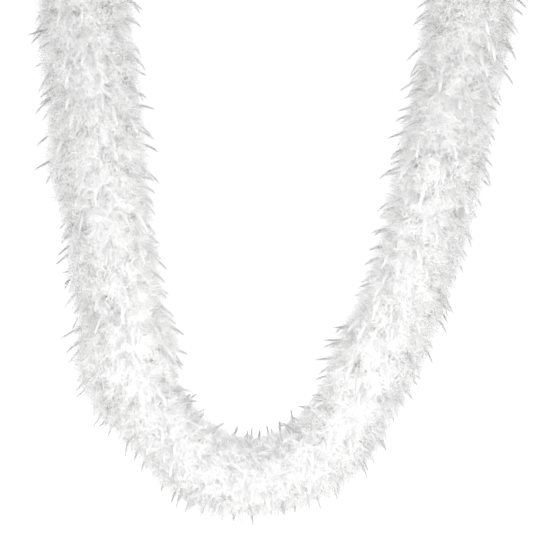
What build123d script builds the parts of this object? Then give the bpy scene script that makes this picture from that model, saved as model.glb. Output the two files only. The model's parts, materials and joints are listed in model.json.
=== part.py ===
"""Feather boa of marabou down, hanging by a cord loop at each end in an uneven U.

Units are millimetres and +Z is up. The boa hangs in the plane y = 0. The origin is midway between
the two points where the end loops rest on their hooks. Each arm of the U is cut into sections at
shared swing heights, where both arms bend forwards and backwards about one line parallel to X.
"""

from build123d import *
from math import hypot, pi, radians, sin, tan
import os

# ---- Cord -----------------------------------------------------------------------------------
cord_d = 3.0                 # twisted cotton cord, used for the core and for the end loops
cord_gap_at_swing = 0.75     # the core stops this far from each line that it bends about
arc_share = 0.45             # share of the shorter run that each rounded corner may use up

# ---- Swing lines: heights at which both arms bend, from the loops down ------------------------
first_swing_z = -50.0
swing_spacing = 200.0
arm_levels = ["upper", "middle", "lower"]

# ---- Plumes: tied on in whorls, tips drooping down the arm ------------------------------------
plume_reach = 62.0           # from the cord's middle to the tips
plume_width = 34.0           # across the widest part of one plume
plume_thickness = 1.2
plume_root_r = 1.5           # where the blades start, from the cord's middle
plumes_per_whorl = 6
tip_drop = 10.0              # how far the tips hang below the roots, on an upright arm
reach_variation = 0.05       # uneven trimming, as a share of the reach
whorls_per_arm_section = 6
whorls_in_bend = 18
root_below_swing = 9.5       # nearest whorl root under a swing line, so its butts clear the bending

# ---- Tied ends of the plumes and the thread over them -----------------------------------------
butt_wall = 1.1              # layer of quill butts around the cord
butt_clearance = 0.2         # between the cord and the butts, so the cord can curve through them
thread_wall = 0.5
thread_length = 5.0
thread_clearance = 0.1       # between the butts and the thread
thread_lift = 0.3            # between the blades and the thread
thread_setback = 0.8         # bare butts that show above the thread

# ---- End loops, their whippings and the stopper knots -----------------------------------------
hook_x = 251.5               # the two hooks stand this far either side of the origin
eye_width = 14.6             # clear width of the loop's eye
eye_straight = 12.0          # from the hook point down to where the eye starts to close
neck_z = 28.0                # from the hook point down to where the two legs meet
leg_gap = 0.2                # between the two legs, side by side
neck_bend_r = 10.0
shoulder_bend_r = 12.0
whipping_top = 29.5
whipping_length = 9.5
whipping_wall = 0.9
whipping_clearance = 0.1
knot_centre = 45.0
knot_core_r = 3.9
knot_turn_r = 3.0            # middle radius of each turn of the knot
knot_cord_r = 1.7
knot_turn_offset = 1.3
knot_turn_tilt = 16.0

cord_r = cord_d / 2
thread_top = plume_thickness / 2 + thread_lift + thread_length    # above the whorl's roots
butt_top = thread_top + thread_setback

# The route of the cord, from the left knot to the right one, as (x, z). The turns are all one way.
left_arm = [
    (-251.6, -50.0), (-251.5, -75.0), (-251.1, -125.0), (-250.4, -175.0), (-249.4, -225.0),
    (-248.0, -275.0), (-246.1, -325.0), (-243.4, -375.0), (-239.7, -425.0), (-234.9, -475.0),
    (-229.1, -525.0), (-222.5, -575.0), (-215.2, -625.0), (-207.0, -675.0),
]
bend = [
    (-197.6, -725.0), (-183.8, -768.0), (-162.2, -801.6), (-135.8, -831.6), (-108.2, -854.4),
    (-79.4, -868.8), (-48.2, -873.6), (-17.0, -867.6), (13.0, -854.4), (38.2, -834.0),
    (57.4, -810.0), (74.8, -780.0), (89.6, -750.0), (103.2, -720.0),
]
right_arm = [
    (121.8, -675.0), (139.6, -625.0), (155.2, -575.0), (168.8, -525.0), (180.8, -475.0),
    (191.4, -425.0), (200.9, -375.0), (209.4, -325.0), (217.1, -275.0), (224.2, -225.0),
    (230.8, -175.0), (237.0, -125.0), (242.9, -75.0), (245.7, -50.0),
]
route = left_arm + bend + right_arm


def turn_degrees(before, corner, after):
    """The angle in degrees by which the route turns at a corner."""
    run_in = Vector(corner[0] - before[0], corner[1] - before[1])
    run_out = Vector(after[0] - corner[0], after[1] - corner[1])
    return run_in.get_angle(run_out)


def corner_radius(before, corner, after):
    """The largest arc that the two runs beside a corner leave room for."""
    shorter = min(hypot(corner[0] - before[0], corner[1] - before[1]),
                  hypot(after[0] - corner[0], after[1] - corner[1]))
    return arc_share * shorter / tan(radians(turn_degrees(before, corner, after) / 2))


radius_at = {corner: corner_radius(before, corner, after)
             for before, corner, after in zip(route, route[1:], route[2:])}
print("corner radii, mm:", [round(r) for r in radius_at.values()])


def cross_swing(points, z):
    """The point where a run of the route crosses a swing line."""
    for (x0, z0), (x1, z1) in zip(points, points[1:]):
        if min(z0, z1) <= z <= max(z0, z1):
            return x0 + (x1 - x0) * (z - z0) / (z1 - z0), z
    raise ValueError("the route doesn't reach this swing line")


def step_towards(start, target, distance):
    """A point on the straight line from start to target."""
    length = hypot(target[0] - start[0], target[1] - start[1])
    share = distance / length
    return start[0] + (target[0] - start[0]) * share, start[1] + (target[1] - start[1]) * share


def section_path(start, corners, end):
    """The cord's centre line between two swing lines: straight runs joined by tangent arcs."""
    points = [step_towards(start, corners[0], cord_gap_at_swing)] + corners
    points.append(step_towards(end, corners[-1], cord_gap_at_swing))
    radii = [radius_at[corner] for corner in corners]
    return FilletPolyline(*[(x, 0, z) for x, z in points], radius=radii)


def cord_along(path):
    """A plain round cord along a path."""
    start = Plane(origin=path @ 0, z_dir=path % 0)
    return sweep(start * Circle(cord_r), path=path)


def tube(outer_r, inner_r, length):
    """A tube whose top face is at z = 0 and which runs down the Z axis."""
    ring = Circle(outer_r) - Circle(inner_r)
    return extrude(ring, amount=-length)


def plume(reach, drop):
    """One flat plume along +X, its blade a pointed oval from the cord to the tip."""
    middle = (plume_root_r + reach) / 2
    edge = ThreePointArc((plume_root_r, 0), (middle, plume_width / 2), (reach, 0))
    back = ThreePointArc((reach, 0), (middle, -plume_width / 2), (plume_root_r, 0))
    blade = extrude(make_face([edge, back]), amount=plume_thickness / 2, both=True)
    return Rot(Y=Vector(reach, 0, 0).get_angle(Vector(reach, 0, -drop))) * blade


def plume_whorl(reach, drop):
    """Plumes whose butts lie together around the cord. Z runs up the cord, roots at z = 0."""
    inner_r = cord_r + butt_clearance
    butts = Pos(Z=butt_top) * tube(inner_r + butt_wall, inner_r, butt_top + plume_thickness)
    blades = [Rot(Z=360 * i / plumes_per_whorl) * plume(reach, drop) for i in range(plumes_per_whorl)]
    bore = Pos(Z=2 * butt_top) * extrude(Circle(inner_r), amount=-4 * butt_top)
    return (butts + blades) - bore


def thread_band():
    """The turns of binding thread around one whorl's butts."""
    inner_r = cord_r + butt_clearance + butt_wall + thread_clearance
    return Pos(Z=thread_top) * tube(inner_r + thread_wall, inner_r, thread_length)


def whorl_planes(path, distances):
    """Where whorls sit on a path: their planes' Z axes point up the cord, X axes along +Y."""
    planes = []
    for distance in distances:
        along = path.tangent_at(distance, position_mode=PositionMode.LENGTH)
        up = along if along.Z > 0 else -along
        at = path.position_at(distance, position_mode=PositionMode.LENGTH)
        planes.append(Plane(origin=at, x_dir=(0, 1, 0), z_dir=up))
    return planes


def dress(path, distances):
    """All whorls of a section, and the thread bands that hold them."""
    whorls, bands = [], []
    for i, plane in enumerate(whorl_planes(path, distances)):
        reach = plume_reach * (1 + reach_variation * sin(2.4 * i))
        half_step = 180 / plumes_per_whorl * (i % 2)
        whorls.append(plane * Rot(Z=half_step) * plume_whorl(reach, tip_drop * plane.z_dir.Z))
        bands.append(plane * thread_band())
    return whorls, bands


def arm_distances(path, goes_down):
    """Even steps down an arm section, the first root close under the swing line."""
    first = root_below_swing - cord_gap_at_swing
    step = (path.length + 2 * cord_gap_at_swing) / whorls_per_arm_section
    down = [first + i * step for i in range(whorls_per_arm_section)]
    return down if goes_down else [path.length - distance for distance in down]


def bend_distances(path):
    """Even steps round the bend, with both end roots close under their swing line."""
    first = root_below_swing - cord_gap_at_swing
    step = (path.length - 2 * first) / (whorls_in_bend - 1)
    return [first + i * step for i in range(whorls_in_bend)]


def end_loop():
    """An eye of cord on two legs. The hook point is the origin, inside the top of the eye."""
    half_eye = eye_width / 2 + cord_r
    half_legs = cord_r + leg_gap / 2
    leg_end = knot_centre - knot_core_r
    right_side = [(half_legs, -leg_end), (half_legs, -neck_z), (half_eye, -eye_straight),
                  (half_eye, cord_r)]
    left_side = [(-x, z) for x, z in reversed(right_side)]
    top_r = half_eye - leg_gap
    radii = [neck_bend_r, shoulder_bend_r, top_r]
    points = [(x, 0, z) for x, z in right_side + left_side]
    return cord_along(FilletPolyline(*points, radius=radii + radii[::-1]))


def loop_whipping():
    """Thread wound around the loop's two legs."""
    inner_r = cord_r + whipping_clearance
    spacing = 2 * cord_r + leg_gap
    inner = SlotCenterToCenter(spacing, 2 * inner_r)
    outer = SlotCenterToCenter(spacing, 2 * (inner_r + whipping_wall))
    return Pos(Z=-whipping_top) * extrude(outer - inner, amount=-whipping_length)


def end_knot(swing_distance):
    """A stopper knot under the loop, with the cord's neck down to the swing line."""
    turn = Torus(knot_turn_r, knot_cord_r)
    upper_turn = Pos(Z=-knot_centre + knot_turn_offset) * Rot(Y=knot_turn_tilt) * turn
    lower_turn = Pos(Z=-knot_centre - knot_turn_offset) * Rot(Y=-knot_turn_tilt) * turn
    core = Pos(Z=-knot_centre) * Sphere(knot_core_r)
    neck_length = swing_distance - cord_gap_at_swing - knot_centre
    neck = Pos(Z=-knot_centre) * extrude(Circle(cord_r), amount=-neck_length)
    return core + upper_turn + lower_turn + neck


def end_plane(hook, below):
    """The plane at a hook whose Z axis points up the hanging cord."""
    up_x, up_z = hook[0] - below[0], hook[1] - below[1]
    return Plane(origin=(hook[0], 0, hook[1]), x_dir=(up_z, 0, -up_x), z_dir=(up_x, 0, up_z))


parts = {}

# Arms: one section on each side at each level
for level, name in enumerate(arm_levels):
    top_z = first_swing_z - swing_spacing * level
    low_z = top_z - swing_spacing
    corners = {"left": [p for p in left_arm if low_z < p[1] < top_z],
               "right": [p for p in right_arm if low_z < p[1] < top_z]}
    for side, arm in (("left", left_arm), ("right", right_arm)):
        top, low = cross_swing(arm, top_z), cross_swing(arm, low_z)
        start, end = (top, low) if side == "left" else (low, top)
        path = section_path(start, corners[side], end)
        whorls, bands = dress(path, arm_distances(path, side == "left"))
        parts[f"{side}_{name}_cord"] = cord_along(path)
        parts[f"{side}_{name}_binding_thread"] = Compound(children=bands)
        parts[f"{side}_{name}_plumes"] = Compound(children=whorls)

# Bend: from the last swing line on the left, round to the last one on the right
last_swing_z = first_swing_z - swing_spacing * len(arm_levels)
bend_corners = [p for p in route if p[1] < last_swing_z]
bend_path = section_path(cross_swing(left_arm, last_swing_z), bend_corners,
                         cross_swing(right_arm, last_swing_z))
whorls, bands = dress(bend_path, bend_distances(bend_path))
parts["bottom_cord"] = cord_along(bend_path)
parts["bottom_binding_thread"] = Compound(children=bands)
parts["bottom_plumes"] = Compound(children=whorls)

# Ends: loop, whipping and knot on each side, in line with the cord below them
for side, hook, below in (("left", (-hook_x, 0.0), left_arm[0]), ("right", (hook_x, 0.0), right_arm[-1])):
    plane = end_plane(hook, below)
    swing_distance = hypot(hook[0] - below[0], hook[1] - below[1])
    parts[f"{side}_end_loop"] = plane * end_loop()
    parts[f"{side}_loop_whipping"] = plane * loop_whipping()
    parts[f"{side}_end_knot"] = plane * end_knot(swing_distance)

os.makedirs("parts", exist_ok=True)
for name, shape in parts.items():
    export_step(shape, f"parts/{name}.step")

# The cord's volume against its section times its length, as a check on the sweeps
section_area = pi * cord_r ** 2
for name, shape in parts.items():
    if name.endswith("_cord"):
        print(name, "volume", round(shape.volume), "mm3, length", round(shape.volume / section_area), "mm")
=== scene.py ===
"""The looks of the marabou feather boa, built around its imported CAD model. Metres, +Z up."""

import json
from math import pi, radians, tau

import bpy
import numpy as np
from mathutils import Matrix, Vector


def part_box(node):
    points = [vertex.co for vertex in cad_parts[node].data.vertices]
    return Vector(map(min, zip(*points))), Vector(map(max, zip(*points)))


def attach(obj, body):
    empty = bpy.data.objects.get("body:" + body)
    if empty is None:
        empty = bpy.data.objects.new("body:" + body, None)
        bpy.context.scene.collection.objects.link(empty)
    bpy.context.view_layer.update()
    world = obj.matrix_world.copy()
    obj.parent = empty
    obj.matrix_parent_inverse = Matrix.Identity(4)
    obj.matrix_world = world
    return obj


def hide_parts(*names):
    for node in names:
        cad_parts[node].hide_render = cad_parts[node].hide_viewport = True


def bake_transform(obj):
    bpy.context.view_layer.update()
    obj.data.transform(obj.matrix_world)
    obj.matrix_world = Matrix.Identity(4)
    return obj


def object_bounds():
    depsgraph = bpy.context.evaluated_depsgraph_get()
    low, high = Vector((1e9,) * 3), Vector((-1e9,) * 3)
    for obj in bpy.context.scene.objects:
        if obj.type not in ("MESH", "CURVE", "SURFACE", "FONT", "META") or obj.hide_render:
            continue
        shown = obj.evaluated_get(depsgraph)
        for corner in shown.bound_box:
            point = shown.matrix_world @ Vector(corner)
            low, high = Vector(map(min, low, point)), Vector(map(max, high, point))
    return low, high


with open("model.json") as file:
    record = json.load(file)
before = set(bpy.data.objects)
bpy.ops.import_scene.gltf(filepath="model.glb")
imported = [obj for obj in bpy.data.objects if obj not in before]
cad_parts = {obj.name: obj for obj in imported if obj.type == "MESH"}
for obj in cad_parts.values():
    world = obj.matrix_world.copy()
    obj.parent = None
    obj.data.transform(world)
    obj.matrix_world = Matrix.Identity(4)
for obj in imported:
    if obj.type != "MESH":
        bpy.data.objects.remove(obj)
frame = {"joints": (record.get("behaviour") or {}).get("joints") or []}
cad_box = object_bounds()

MM = 0.001
DOWN = np.array((0.0, 0.0, -1.0))
FORWARD = np.array((0.0, 1.0, 0.0))
TINY = 1e-9

# ---- Where things are, from the frame -----------------------------------------------------------
swing_z = {j["name"]: j["pos_m"][2] for j in frame["joints"]}
first_z = swing_z["top_swing"]
section = first_z - swing_z["upper_swing"]
# Plumage and cord are cut halfway between swing lines, so each piece bends about one line at most
cut_z = [first_z - section / 2 - i * section for i in range(4)]

# ---- The cord -----------------------------------------------------------------------------------
CORD_D = 3.0 * MM
PLY_R = CORD_D / 4
PLY_TURN = 9.0 * MM                # one full twist of the two plies

# The route of the cord from the left knot to the right one, as (x, z) in metres
route = [
    (-0.2516, -0.0500), (-0.2515, -0.0750), (-0.2511, -0.1250), (-0.2504, -0.1750), (-0.2494, -0.2250),
    (-0.2480, -0.2750), (-0.2461, -0.3250), (-0.2434, -0.3750), (-0.2397, -0.4250), (-0.2349, -0.4750),
    (-0.2291, -0.5250), (-0.2225, -0.5750), (-0.2152, -0.6250), (-0.2070, -0.6750),
    (-0.1976, -0.7250), (-0.1838, -0.7680), (-0.1622, -0.8016), (-0.1358, -0.8316), (-0.1082, -0.8544),
    (-0.0794, -0.8688), (-0.0482, -0.8736), (-0.0170, -0.8676), (0.0130, -0.8544), (0.0382, -0.8340),
    (0.0574, -0.8100), (0.0748, -0.7800), (0.0896, -0.7500), (0.1032, -0.7200),
    (0.1218, -0.6750), (0.1396, -0.6250), (0.1552, -0.5750), (0.1688, -0.5250), (0.1808, -0.4750),
    (0.1914, -0.4250), (0.2009, -0.3750), (0.2094, -0.3250), (0.2171, -0.2750), (0.2242, -0.2250),
    (0.2308, -0.1750), (0.2370, -0.1250), (0.2429, -0.0750), (0.2457, -0.0500),
]


# ---- Small helpers ------------------------------------------------------------------------------
def unit(v):
    """Vectors along the last axis, brought to length one."""
    return v / np.maximum(np.linalg.norm(v, axis=-1, keepdims=True), TINY)


def spline_points(points, name):
    """Points along the NURBS spline through which the cord runs, read from a curve with no bevel."""
    curve = bpy.data.curves.new(name, "CURVE")
    curve.dimensions = "3D"
    curve.resolution_u = 24
    spline = curve.splines.new("NURBS")
    spline.points.add(len(points) - 1)
    for p, co in zip(spline.points, points):
        p.co = (*co, 1.0)
    spline.order_u = 3
    spline.use_endpoint_u = True
    line = bpy.data.objects.new(name, curve)
    mesh = bpy.data.meshes.new_from_object(line)
    read = np.array([v.co for v in mesh.vertices])
    bpy.data.objects.remove(line)
    bpy.data.meshes.remove(mesh)
    return read


def resample(points, step):
    """The same line with even steps, and the distance along it of each new point."""
    gone = np.concatenate([[0], np.cumsum(np.linalg.norm(np.diff(points, axis=0), axis=1))])
    count = max(2, int(round(gone[-1] / step)) + 1)
    at = np.linspace(0, gone[-1], count)
    return np.stack([np.interp(at, gone, points[:, k]) for k in range(3)], axis=1), at


def tangents(points):
    """Unit tangents along a line of points."""
    return unit(np.gradient(points, axis=0))


def add_mesh(name, verts, faces, material, smooth=True, uv=None, normals=None):
    """A mesh object from numpy arrays. faces is a list of index arrays, each with one face a row."""
    mesh = bpy.data.meshes.new(name)
    sizes = np.concatenate([np.full(len(f), f.shape[1]) for f in faces])
    corners = np.concatenate([f.ravel() for f in faces]).astype(np.int32)
    mesh.vertices.add(len(verts))
    mesh.vertices.foreach_set("co", np.asarray(verts, np.float32).ravel())
    mesh.loops.add(len(corners))
    mesh.loops.foreach_set("vertex_index", corners)
    mesh.polygons.add(len(sizes))
    starts = np.concatenate([[0], np.cumsum(sizes)[:-1]]).astype(np.int32)
    mesh.polygons.foreach_set("loop_start", starts)
    if uv is not None:
        layer = mesh.uv_layers.new(name="OFBake")
        layer.data.foreach_set("uv", np.asarray(uv, np.float32)[corners].ravel())
    mesh.update(calc_edges=True)
    mesh.polygons.foreach_set("use_smooth", np.full(len(sizes), smooth))
    if normals is not None:
        mesh.normals_split_custom_set_from_vertices(normals)
    mesh.materials.append(material)
    piece = bpy.data.objects.new(name, mesh)
    bpy.context.scene.collection.objects.link(piece)
    return piece


def tube_arrays(points, radius, sides, closed=False):
    """Vertices and quads of a round tube along a line, with flat ends where it isn't closed."""
    along = tangents(points)
    if closed:
        along = unit(np.roll(points, -1, axis=0) - np.roll(points, 1, axis=0))
    across = unit(np.cross(along, np.where(np.abs(along[:, 1:2]) < 0.9, FORWARD, DOWN)))
    other = np.cross(along, across)
    turn = np.arange(sides) * tau / sides
    radius = np.broadcast_to(radius, len(points))[:, None, None]
    rings = points[:, None] + radius * (np.cos(turn)[None, :, None] * across[:, None]
                                        + np.sin(turn)[None, :, None] * other[:, None])
    ring = np.arange(sides)
    rows = np.arange(len(points) if closed else len(points) - 1)[:, None] * sides
    below = (rows + sides) % (len(points) * sides)
    step = (ring + 1) % sides
    quads = np.stack([rows + ring, rows + step, below + step, below + ring], axis=-1).reshape(-1, 4)
    faces = [quads]
    if not closed:
        faces.append(ring[::-1][None])
        faces.append(((len(points) - 1) * sides + ring)[None])
    return rings.reshape(-1, 3), faces


def join_arrays(parts):
    """Several (vertices, faces) pairs as one."""
    verts, faces, start = [], [], 0
    for part_verts, part_faces in parts:
        verts.append(part_verts)
        faces.extend(f + start for f in part_faces)
        start += len(part_verts)
    return np.concatenate(verts), faces


# ---- Materials ----------------------------------------------------------------------------------
SEE_THROUGH = 0.55                 # share of the light on a barb that may pass through it


def new_material(name, roughness, sheen=0.0):
    """A Principled material, with its nodes, its links and its shader."""
    material = bpy.data.materials.new(name)
    material.use_nodes = True
    nodes = material.node_tree.nodes
    shader = nodes["Principled BSDF"]
    shader.inputs["Roughness"].default_value = roughness
    shader.inputs["Specular IOR Level"].default_value = 0.25
    shader.inputs["Sheen Weight"].default_value = sheen
    return material, nodes, material.node_tree.links, shader


def ramp_node(nodes, stops):
    """A colour ramp with the given stops, each a (position, colour) pair."""
    ramp = nodes.new("ShaderNodeValToRGB")
    first, last = ramp.color_ramp.elements
    first.position, first.color = stops[0][0], (*stops[0][1], 1)
    last.position, last.color = stops[-1][0], (*stops[-1][1], 1)
    for position, colour in stops[1:-1]:
        ramp.color_ramp.elements.new(position).color = (*colour, 1)
    return ramp


def grey(level):
    """A neutral colour."""
    return (level, level, level)


def down_material():
    """White marabou down: matt, a little see-through, each barb its own shade and paler to its tip."""
    material, nodes, links, shader = new_material("marabou_down", roughness=0.85)
    uv = nodes.new("ShaderNodeUVMap")
    uv.uv_map = "OFBake"
    split = nodes.new("ShaderNodeSeparateXYZ")
    links.new(uv.outputs["UV"], split.inputs["Vector"])
    along = ramp_node(nodes, [(0.0, (0.965, 0.965, 0.96)), (0.5, grey(0.985)), (1.0, grey(0.99))])
    links.new(split.outputs["X"], along.inputs["Fac"])
    each = ramp_node(nodes, [(0.0, grey(0.90)), (0.5, grey(0.98)), (1.0, grey(1.0))])
    links.new(split.outputs["Y"], each.inputs["Fac"])
    tint = nodes.new("ShaderNodeMix")
    tint.data_type = "RGBA"
    tint.blend_type = "MULTIPLY"
    tint.inputs["Factor"].default_value = 1.0
    links.new(along.outputs["Color"], tint.inputs["A"])
    links.new(each.outputs["Color"], tint.inputs["B"])
    links.new(tint.outputs["Result"], shader.inputs["Base Color"])
    through = nodes.new("ShaderNodeBsdfTranslucent")
    links.new(tint.outputs["Result"], through.inputs["Color"])
    both = nodes.new("ShaderNodeMixShader")
    both.inputs["Fac"].default_value = SEE_THROUGH
    links.new(shader.outputs["BSDF"], both.inputs[1])
    links.new(through.outputs["BSDF"], both.inputs[2])
    links.new(both.outputs["Shader"], nodes["Material Output"].inputs["Surface"])
    return material


def twisted_material(name, colour, scale):
    """Cotton cord or thread: fine fibres along it, with a soft bump."""
    material, nodes, links, shader = new_material(name, roughness=0.8, sheen=0.3)
    place = nodes.new("ShaderNodeTexCoord")
    fibres = nodes.new("ShaderNodeTexNoise")
    fibres.inputs["Scale"].default_value = scale
    fibres.inputs["Detail"].default_value = 3.0
    links.new(place.outputs["Object"], fibres.inputs["Vector"])
    dark = tuple(c * 0.86 for c in colour)
    shade = ramp_node(nodes, [(0.3, dark), (0.7, colour)])
    links.new(fibres.outputs["Fac"], shade.inputs["Fac"])
    links.new(shade.outputs["Color"], shader.inputs["Base Color"])
    bump = nodes.new("ShaderNodeBump")
    bump.inputs["Strength"].default_value = 0.35
    bump.inputs["Distance"].default_value = 0.1 * MM
    links.new(fibres.outputs["Fac"], bump.inputs["Height"])
    links.new(bump.outputs["Normal"], shader.inputs["Normal"])
    return material


down_mat = down_material()
cord_mat = twisted_material("twisted_cotton_cord", (0.86, 0.85, 0.81), 2500)
thread_mat = twisted_material("binding_thread", (0.90, 0.89, 0.87), 6000)

# ---- The cord's line ----------------------------------------------------------------------------
line, line_at = resample(spline_points([(x, 0.0, z) for x, z in route], "cord_line"), 1.0 * MM)
line_along = tangents(line)
lowest = int(np.argmin(line[:, 2]))


def at_distance(s):
    """Points and tangents on the cord's line at distances s along it."""
    point = np.stack([np.interp(s, line_at, line[:, k]) for k in range(3)], axis=-1)
    along = np.stack([np.interp(s, line_at, line_along[:, k]) for k in range(3)], axis=-1)
    return point, unit(along)


def distance_at_height(z, side):
    """How far along the line the left or right arm crosses a height."""
    part = slice(0, lowest) if side == "left" else slice(lowest, len(line))
    height, at = line[part, 2], line_at[part]
    if side == "left":
        height, at = height[::-1], at[::-1]
    return float(np.interp(z, height, at))


class Span:
    """A stretch of the boa between two cuts, which rides on one body or bends between two.

    start and end are distances along the cord, and node_level begins the names of its CAD nodes."""

    def __init__(self, name, start, end, node_level, ride=None, bend=None, swing=None):
        self.name, self.start, self.end = name, min(start, end), max(start, end)
        self.node_level, self.ride, self.bend, self.swing = node_level, ride, bend, swing

    def attach(self, piece):
        """Lets a piece move as this span does."""
        if self.ride:
            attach(piece, self.ride)
        else:
            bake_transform(piece)


total = float(line_at[-1])
spans = []
for side, end in (("left", 0.0), ("right", total)):
    marks = [end] + [distance_at_height(z, side) for z in cut_z]
    spans.append(Span(f"{side}_top", marks[0], marks[1], f"{side}_upper", ride="upper_arms"))
    spans.append(Span(f"{side}_upper_bend", marks[1], marks[2], f"{side}_middle",
                      bend=("upper_arms", "middle_arms"), swing="upper_swing"))
    spans.append(Span(f"{side}_middle_bend", marks[2], marks[3], f"{side}_lower",
                      bend=("middle_arms", "lower_arms"), swing="middle_swing"))
    spans.append(Span(f"{side}_lower_bend", marks[3], marks[4], "bottom",
                      bend=("lower_arms", "bottom_bend"), swing="lower_swing"))
    spans.append(Span(f"{side}_bottom", marks[4], line_at[lowest], "bottom", ride="bottom_bend"))

# ---- Plumage ------------------------------------------------------------------------------------
# Two kinds of plume: most are short and loose, and make one soft body; the others cling to a point.
# reach is the way out to a tip, depth the most of it to the front or the back, barbs_from the share of a
# plume that is bare, and tone the range of its shades
SHORT = dict(per_metre=3600, barbs=130, reach=(0.045, 0.054), half_width=0.018, barbs_from=0.12,
             pointed=False, tone=(0.55, 0.80), depth=0.064)
# Painted shade: the long plumes have a lower tone range than the short ones, so their barbs, which stand out
# unshadowed into the light, are darker
LONG = dict(per_metre=620, barbs=200, reach=(0.055, 0.069), half_width=0.0105, barbs_from=0.45,
            pointed=True, tone=(0.30, 0.55), depth=0.057)
FLUFF_PER_METRE = 200e3            # barbules, too many to place one by one, that fill the body out
FLUFF_REACH = (0.024, 0.052)
FLUFF_LONGEST = 0.011
FLUFF_WIDTH = 0.75 * MM
FLUFF_TONE = (0.55, 0.95)
TONE_SPREAD = 0.15                 # between the barbs of one plume
FLUFF_SAG = 0.35                   # how far the outermost barbules hang down, as a share of their way out
SHAFT_STEPS = 9
BARB_STEPS = 1
LEAN = 0.16                        # how far plumes lean along the cord as they leave it
TURN_SPREAD = 0.25                 # how unevenly they stand round it, in radians
DROOP_SPREAD = 0.25
WAVER = 0.25                       # how unsteadily a plume bends
BUTT_R = 1.6 * MM                  # where the plumes leave the cord
STRAIGHTEST = 0.3                  # the least that a plume's reach counts for, as a share of its length
LONGEST_PLUME = 0.080
DEEPEST = 0.077                    # how far any barb reaches to the front and the back
DROOP = 2.4                        # how strongly gravity bends a plume towards its tip
STANDING = 0.65                    # share of the droop that plumes standing straight up are spared
BARB_RUN = 0.022                   # how far along its plume a barb reaches
BARB_WIDTH = 0.45 * MM
SHAFT_WIDTH = 0.60 * MM
SHAFT_SHOWN = 5                    # of its steps; past them a shaft is as fine as a barb
GOLDEN = pi * (3 - 5 ** 0.5)


# Hand-tied down is uneven: distance along the cord, then its fullness outside and inside the U
UNEVEN = [
    (0.00, 1.00, 1.00), (0.26, 1.18, 0.96), (0.32, 1.13, 1.08), (0.36, 1.05, 1.00), (0.41, 1.18, 1.10),
    (0.46, 1.10, 1.00), (0.51, 0.90, 0.94), (0.56, 1.06, 1.03), (0.61, 0.94, 0.93), (0.66, 1.30, 1.13),
    (0.71, 1.10, 0.80), (0.77, 0.85, 0.80), (0.86, 1.02, 0.87), (0.91, 0.76, 0.93), (1.01, 0.93, 0.93),
    (1.06, 0.90, 0.84), (1.11, 0.94, 0.98), (1.26, 0.98, 0.83), (1.37, 0.98, 1.04), (1.46, 0.91, 0.95),
    (1.54, 0.97, 1.04), (1.82, 1.00, 1.00),
]


def fullness(s, outwards):
    """How full the down is at distances s. outwards is 1 on the outer side of the U and -1 inside it."""
    at, outer, inner = zip(*UNEVEN)
    return np.interp(s, at, outer) * (1 + outwards) / 2 + np.interp(s, at, inner) * (1 - outwards) / 2


def around_cord(s):
    """Points on the cord at distances s along it, and there its tangents, +Y and the way out of the U."""
    point, along = at_distance(s)
    side = np.broadcast_to(FORWARD, along.shape)
    return point, along, side, np.cross(side, along)


def grow_shafts(rng, start, end, kind):
    """The shafts of a span's plumes, (plume, step, 3) from the cord to the tip.

    With them come the plumes' lengths and the way out of the cord at each."""
    count = int(round((end - start) * kind["per_metre"]))
    s = start + (np.arange(count) + rng.uniform(0, 1, count)) * (end - start) / count
    point, along, side, out = around_cord(s)
    turn = np.arange(count) * GOLDEN + rng.normal(0, TURN_SPREAD, count)
    radial = np.cos(turn)[:, None] * side + np.sin(turn)[:, None] * out
    way = unit(radial + along * rng.normal(0, LEAN, count)[:, None])
    droop = DROOP * (1 + DROOP_SPREAD * rng.normal(0, 1, count)).clip(0.4, 1.7)
    droop *= 1 - STANDING * radial[:, 2].clip(0, 1)
    waver = rng.normal(0, 1, (count, 3))
    points = [np.zeros((count, 3))]
    for i in range(SHAFT_STEPS):
        t = (i + 0.5) / SHAFT_STEPS
        fall = DOWN - way * (way @ DOWN)[:, None]
        way = unit(way + (fall * (droop * t)[:, None] + waver * WAVER * t) / SHAFT_STEPS)
        points.append(points[-1] + way / SHAFT_STEPS)
    shafts = np.stack(points, axis=1)
    # Each plume is as long as its own bend needs to reach its way out
    tip = shafts[:, -1]
    reached = np.linalg.norm(tip - along * np.sum(tip * along, axis=1, keepdims=True), axis=1)
    reach = rng.uniform(*kind["reach"], count) * fullness(s, np.sin(turn))
    length = np.minimum(reach / np.maximum(reached, STRAIGHTEST), LONGEST_PLUME)
    length = np.minimum(length, kind["depth"] / np.maximum(np.abs(tip[:, 1]), TINY))
    return point[:, None] + radial[:, None] * BUTT_R + shafts * length[:, None, None], length, radial


def on_shaft(shafts, t):
    """Points on each plume's shaft at shares t (plume, barb) of its length. Past 1 it runs on straight."""
    steps = shafts.shape[1] - 1
    low = np.minimum((t * steps).astype(int), steps - 1)
    part = (t * steps - low)[..., None]
    row = np.arange(len(shafts))[:, None]
    return shafts[row, low] * (1 - part) + shafts[row, low + 1] * part


def plume_outline(t, pointed):
    """Half the width of a plume at share t of its length, as a share of its half_width."""
    closing = np.clip((1.06 - t) / 0.4, 0, 1) if pointed else np.clip((1.9 - t) / 0.9, 0, 1) ** 0.6
    return np.minimum(1, (t / 0.35) ** 0.7) * closing


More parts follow.
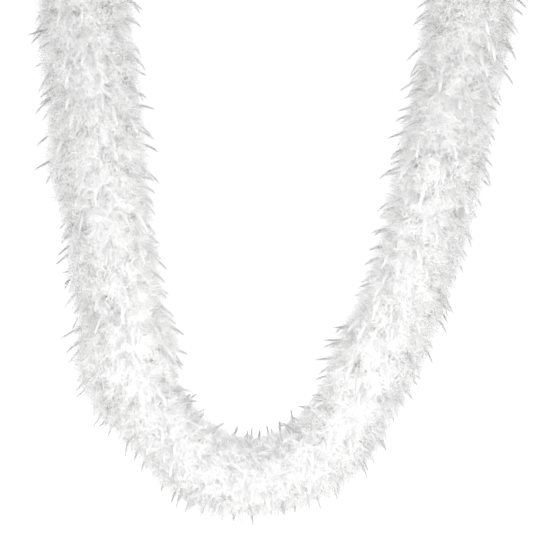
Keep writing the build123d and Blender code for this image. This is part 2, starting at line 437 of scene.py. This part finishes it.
def grow_barbs(rng, shafts, length, kind):
    """The barbs of the plumes, as points (plume, barb, step, 3) from the shaft to the tip."""
    shape = (len(shafts), kind["barbs"])
    first = kind["barbs_from"]
    start = first + (0.95 - first) * (np.arange(shape[1])[None] + rng.uniform(0, 1, shape)) / shape[1]
    run = BARB_RUN * rng.uniform(0.6, 1.25, shape) / length[:, None]
    past = rng.normal(0, 1, shape).clip(-1.5, 1.5) * (0.03 if kind["pointed"] else 0.07)
    end = np.minimum(start + run, 1 + past)
    way = unit(on_shaft(shafts, start + 0.02) - on_shaft(shafts, start))
    across = unit(np.cross(way, rng.normal(0, 1, (shape[0], 1, 3)) + 0 * way))
    out = np.cross(across, way)
    spread = rng.normal(0, 1, (2, *shape, 1))
    side = unit(across * spread[0] + out * spread[1])
    share = rng.uniform(0.02, 1.0, shape) ** 0.6
    points = []
    for i in range(BARB_STEPS + 1):
        s = i / BARB_STEPS
        t = start + (end - start) * s
        off = kind["half_width"] * plume_outline(t, kind["pointed"]) * share * s ** 0.8
        points.append(on_shaft(shafts, t) + side * off[..., None])
    barbs = np.stack(points, axis=2)
    barbs[..., 1] = barbs[..., 1].clip(-DEEPEST, DEEPEST)
    return barbs


def grow_fluff(rng, start, end):
    """Barbules as short lines (line, step, 3) in all directions, and the way out of the cord at each."""
    count = int(round((end - start) * FLUFF_PER_METRE))
    s = rng.uniform(start, end, count)
    point, along, side, out = around_cord(s)
    turn = rng.uniform(0, tau, count)
    radial = np.cos(turn)[:, None] * side + np.sin(turn)[:, None] * out
    reach = rng.uniform(FLUFF_REACH[0] ** 2, FLUFF_REACH[1] ** 2, count) ** 0.5 * fullness(s, np.sin(turn))
    root = point + radial * reach[:, None] + DOWN * (FLUFF_SAG * reach ** 2 / FLUFF_REACH[1])[:, None]
    way = unit(rng.normal(0, 1, (count, 3)) + radial * 0.3 + DOWN * 0.7)
    length = FLUFF_LONGEST * rng.uniform(0.5, 1.0, (count, 1))
    return np.stack([root - way * length / 2, root + way * length / 2], axis=1), radial


def ribbons(rng, points, outward, width, tone):
    """Flat tapered ribbons along lines (line, step, 3), turned to face outward.

    They are vertices, faces, UVs and normals. U of the map runs along a ribbon and V is its tone."""
    count, steps = points.shape[0], points.shape[1] - 1
    along = unit(points[:, -1] - points[:, 0])
    faced = outward + rng.normal(0, 0.45, (count, 3))
    across = unit(np.cross(along, faced))
    face = np.cross(across, along)
    across *= np.sign(np.sum(face * outward, axis=1, keepdims=True) + TINY)
    face = np.cross(across, along)
    taper = np.linspace(1.0, 0.6, steps)[None, :, None] * width / 2
    left = points[:, :-1] - across[:, None] * taper
    right = points[:, :-1] + across[:, None] * taper
    verts = np.concatenate([np.stack([left, right], axis=2).reshape(count, -1, 3), points[:, -1:]], axis=1)
    per = 2 * steps + 1
    base = np.arange(count)[:, None] * per
    quad = np.array([[2 * i, 2 * i + 1, 2 * i + 3, 2 * i + 2] for i in range(steps - 1)], int).reshape(-1, 4)
    quads = (base[:, None] + quad[None]).reshape(-1, 4)
    tips = (base + np.array([per - 3, per - 2, per - 1])[None]).reshape(-1, 3)
    u = np.concatenate([np.repeat(np.arange(steps) / steps, 2), [1.0]])
    edge = np.concatenate([np.tile([-0.008, 0.008], steps), [0.0]])
    uv = np.stack([np.broadcast_to(0.01 + 0.98 * u, (count, per)), tone[:, None] + edge[None]], axis=-1)
    normals = np.repeat(unit(outward + face * 0.2), per, axis=0)
    return verts.reshape(-1, 3), [quads, tips], uv.reshape(-1, 2), normals


def plumage(span, seed):
    """All the down of a span as one mesh piece."""
    rng = np.random.default_rng(seed)
    parts = []
    for kind in (SHORT, LONG):
        shafts, length, radial = grow_shafts(rng, span.start, span.end, kind)
        barbs = grow_barbs(rng, shafts, length, kind).reshape(-1, BARB_STEPS + 1, 3)
        tone = rng.uniform(*kind["tone"], len(shafts))
        barb_tone = np.repeat(tone, kind["barbs"]) + rng.uniform(-TONE_SPREAD, TONE_SPREAD, len(barbs))
        parts.append(ribbons(rng, barbs, np.repeat(radial, kind["barbs"], axis=0), BARB_WIDTH, barb_tone))
        if kind["pointed"]:
            parts.append(ribbons(rng, shafts[:, :SHAFT_SHOWN], radial, SHAFT_WIDTH, tone))
    fluff, radial = grow_fluff(rng, span.start, span.end)
    parts.append(ribbons(rng, fluff, radial, FLUFF_WIDTH, rng.uniform(*FLUFF_TONE, len(fluff))))
    verts, faces = join_arrays([(p[0], p[1]) for p in parts])
    return add_mesh(f"{span.name}_plumage", verts, faces, down_mat, uv=np.concatenate([p[2] for p in parts]),
                    normals=np.concatenate([p[3] for p in parts]))


for number, span in enumerate(spans):
    piece = plumage(span, seed=40 + number)
    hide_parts(f"{span.node_level}_plumes")
    span.attach(piece)


# ---- Core cord: two twisted plies, in spans that each bend about one swing line -----------------
def twisted_pair(points, turn_length=PLY_TURN, ply_r=PLY_R, sides=7):
    """Two plies wound round each other along a line."""
    along = tangents(points)
    across = unit(np.cross(along, FORWARD))
    other = np.cross(along, across)
    gone = np.concatenate([[0], np.cumsum(np.linalg.norm(np.diff(points, axis=0), axis=1))])
    parts = []
    for ply in range(2):
        turn = gone / turn_length * tau + ply * pi
        off = np.cos(turn)[:, None] * across + np.sin(turn)[:, None] * other
        parts.append(tube_arrays(points + off * ply_r, ply_r * 1.06, sides))
    return join_arrays(parts)


def line_between(start, end, step):
    """The stretch of the cord's line between two distances."""
    count = max(2, int(round((end - start) / step)) + 1)
    return at_distance(np.linspace(start, end, count))[0]


for number, span in enumerate(spans):
    path = line_between(span.start, span.end, 0.7 * MM)
    piece = add_mesh(f"{span.name}_core_cord", *twisted_pair(path), cord_mat)
    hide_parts(f"{span.node_level}_cord")
    span.attach(piece)


# ---- Binding thread: a close winding over each whorl's butts, and an open one between them ------
WHORL_STEP = 33.3 * MM
BAND_LENGTH = 5.0 * MM
THREAD_R = 0.25 * MM
BAND_R = 3.1 * MM                  # over the butts
BARE_R = CORD_D / 2 + THREAD_R     # over the bare cord
BAND_PITCH = 0.55 * MM
OPEN_PITCH = 4.5 * MM


def wound_thread(span):
    """One thread wound along a span of the cord, as vertices and faces."""
    length = span.end - span.start
    fine = np.arange(0.0, length, 0.02 * MM)
    from_band = np.abs((fine % WHORL_STEP) - WHORL_STEP / 2) - BAND_LENGTH / 2
    open_share = np.clip(from_band / (1.5 * MM), 0, 1)
    pitch = BAND_PITCH + (OPEN_PITCH - BAND_PITCH) * open_share
    turn = np.cumsum(tau * 0.02 * MM / pitch)
    at_turn = np.arange(0.0, turn[-1], tau / 9)
    s = np.interp(at_turn, turn, fine)
    radius = BAND_R + (BARE_R - BAND_R) * np.interp(s, fine, open_share)
    point, _, side, out = around_cord(span.start + s)
    ring = np.cos(at_turn)[:, None] * side + np.sin(at_turn)[:, None] * out
    return tube_arrays(point + ring * radius[:, None], THREAD_R, 4)


for span in spans:
    piece = add_mesh(f"{span.name}_thread", *wound_thread(span), thread_mat)
    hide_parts(f"{span.node_level}_binding_thread")
    span.attach(piece)


# ---- End loops, whippings and knots, in each hook's own frame: X across the legs, Z up the cord --
LEG_X = 1.6 * MM                   # from the middle to each leg, where the two lie side by side
EYE_R = 8.8 * MM                   # middle radius of the eye
EYE_CENTRE = -7.3 * MM
EYE_STRAIGHT = -12.0 * MM
NECK = -28.0 * MM
KNOT_CENTRE = -45.0 * MM
LEG_END = -42.0 * MM
WHIPPING_TOP = -29.5 * MM
WHIPPING_LENGTH = 9.5 * MM
WHIPPING_THREAD_R = 0.45 * MM


def eye_line():
    """The cord's line up one leg, round the eye and down the other leg."""
    leg = np.linspace(LEG_END, EYE_CENTRE, 70)
    share = np.clip((leg - NECK) / (EYE_STRAIGHT - NECK), 0, 1)
    leg_x = LEG_X + (EYE_R - LEG_X) * share ** 2 * (3 - 2 * share)
    turn = np.linspace(0, pi, 50)[1:-1]
    x = np.concatenate([leg_x, EYE_R * np.cos(turn), -leg_x[::-1]])
    z = np.concatenate([leg, EYE_CENTRE + EYE_R * np.sin(turn), leg[::-1]])
    return np.stack([x, 0 * x, z], axis=1)


def whipping_line():
    """A close oval winding round both legs, from the top down."""
    turn = np.arange(0, WHIPPING_LENGTH / (2 * WHIPPING_THREAD_R) * tau, tau / 20)
    r = CORD_D / 2 + 0.1 * MM + WHIPPING_THREAD_R
    x = np.where(np.cos(turn) > 0, LEG_X, -LEG_X) + r * np.cos(turn)
    z = WHIPPING_TOP - WHIPPING_THREAD_R - turn / tau * 2 * WHIPPING_THREAD_R
    return np.stack([x, r * np.sin(turn), z], axis=1)


def knot_line():
    """A stopper knot: the cord passes twice round and three times through itself."""
    turn = np.linspace(0, tau, 160, endpoint=False)
    r = 2.9 * MM + 1.3 * MM * np.cos(3 * turn)
    return np.stack([r * np.cos(2 * turn), r * np.sin(2 * turn),
                     KNOT_CENTRE + 2.0 * MM * np.sin(3 * turn)], axis=1)


def placed(arrays, hook, below):
    """Vertices and faces moved from a hook's own frame into the scene."""
    verts, faces = arrays
    up = unit(hook - below)
    across = np.array((up[2], 0.0, -up[0]))
    return hook + verts[:, :1] * across + verts[:, 1:2] * FORWARD + verts[:, 2:] * up, faces


hook_x = {side: sum(c.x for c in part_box(f"{side}_end_loop")) / 2 for side in ("left", "right")}
for side, end in (("left", line[0]), ("right", line[-1])):
    hook = np.array((hook_x[side], 0.0, 0.0))
    neck = np.linspace((0.0, 0.0, LEG_END), (0.0, 0.0, first_z), 14)
    knot = join_arrays([twisted_pair(knot_line()), twisted_pair(neck)])
    for name, arrays, node, slot, material in (
            ("loop_cord", twisted_pair(eye_line()), "end_loop", "loop_cord", cord_mat),
            ("loop_whipping_thread", tube_arrays(whipping_line(), WHIPPING_THREAD_R, 8), "loop_whipping",
             "whipping_thread", thread_mat),
            ("stopper_knot", knot, "end_knot", "core_cord", cord_mat)):
        piece = add_mesh(f"{side}_{name}", *placed(arrays, hook, end), material)
        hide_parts(f"{side}_{node}")
        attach(piece, "end_loops")


# ---- Stage, light and camera --------------------------------------------------------------------
FLOOR_SIZE = 14.0
FLOOR_BELOW = 0.2                  # the boa hangs clear of the floor by this
AMBIENT = 1.48                     # the world's light on the boa
BACKDROP = 1.05                    # the world as the camera sees it


def plane(name, size, z, material):
    """A square sheet of floor."""
    half = size / 2
    verts = [(-half, -half, z), (half, -half, z), (half, half, z), (-half, half, z)]
    return add_mesh(name, verts, [np.array([[0, 1, 2, 3]])], material, smooth=False)


def floor_material():
    """A white studio floor, lit so that it reads as plain white."""
    material, _, _, shader = new_material("studio_floor", roughness=0.9)
    shader.inputs["Base Color"].default_value = (0.9, 0.9, 0.9, 1)
    shader.inputs["Emission Color"].default_value = (1, 1, 1, 1)
    shader.inputs["Emission Strength"].default_value = 0.1
    return material


floor = plane("studio_floor", FLOOR_SIZE, cad_box[0].z - FLOOR_BELOW, floor_material())

world = bpy.data.worlds.new("studio_world")
bpy.context.scene.world = world
world.use_nodes = True
world_nodes, world_links = world.node_tree.nodes, world.node_tree.links
background = world_nodes["Background"]
background.inputs["Color"].default_value = (1, 1, 1, 1)
seen = world_nodes.new("ShaderNodeLightPath")
strength = world_nodes.new("ShaderNodeMapRange")
strength.inputs["To Min"].default_value = AMBIENT
strength.inputs["To Max"].default_value = BACKDROP
world_links.new(seen.outputs["Is Camera Ray"], strength.inputs["Value"])
world_links.new(strength.outputs["Result"], background.inputs["Strength"])


def add_light(name, data, at, power):
    """A light in the scene, which the camera doesn't see."""
    data.energy = power
    lamp = bpy.data.objects.new(name, data)
    lamp.location = at
    lamp.visible_camera = False
    bpy.context.scene.collection.objects.link(lamp)
    return lamp


def area_light(name, at, target, size, power):
    """A square soft light aimed at a point."""
    data = bpy.data.lights.new(name, "AREA")
    data.size = size
    lamp = add_light(name, data, at, power)
    lamp.rotation_euler = (Vector(target) - Vector(at)).to_track_quat("-Z", "Y").to_euler()


def round_light(name, at, radius, power):
    """A soft globe of light."""
    data = bpy.data.lights.new(name, "POINT")
    data.shadow_soft_size = radius
    add_light(name, data, at, power)


area_light("front_key", (0.04, -0.75, -0.78), (-0.02, 0.0, -0.76), 0.9, 3.6)
round_light("fill_within_the_u", (-0.03, -0.26, -0.73), 0.12, 0.7)

view_centre = Vector((-0.023, 0.0, -0.630))
view_width = 0.660
camera_distance = 2.2
camera_data = bpy.data.cameras.new("camera")
camera_data.lens = camera_data.sensor_width * camera_distance / view_width
camera = bpy.data.objects.new("camera", camera_data)
camera.location = view_centre + Vector((0, -camera_distance, 0))
camera.rotation_euler = (radians(90), 0, 0)
bpy.context.scene.collection.objects.link(camera)
bpy.context.scene.camera = camera
bpy.context.scene.view_settings.view_transform = "Standard"
# White down is bright because light passes from barb to barb many times
bpy.context.scene.cycles.diffuse_bounces = 12
bpy.context.scene.cycles.max_bounces = 16
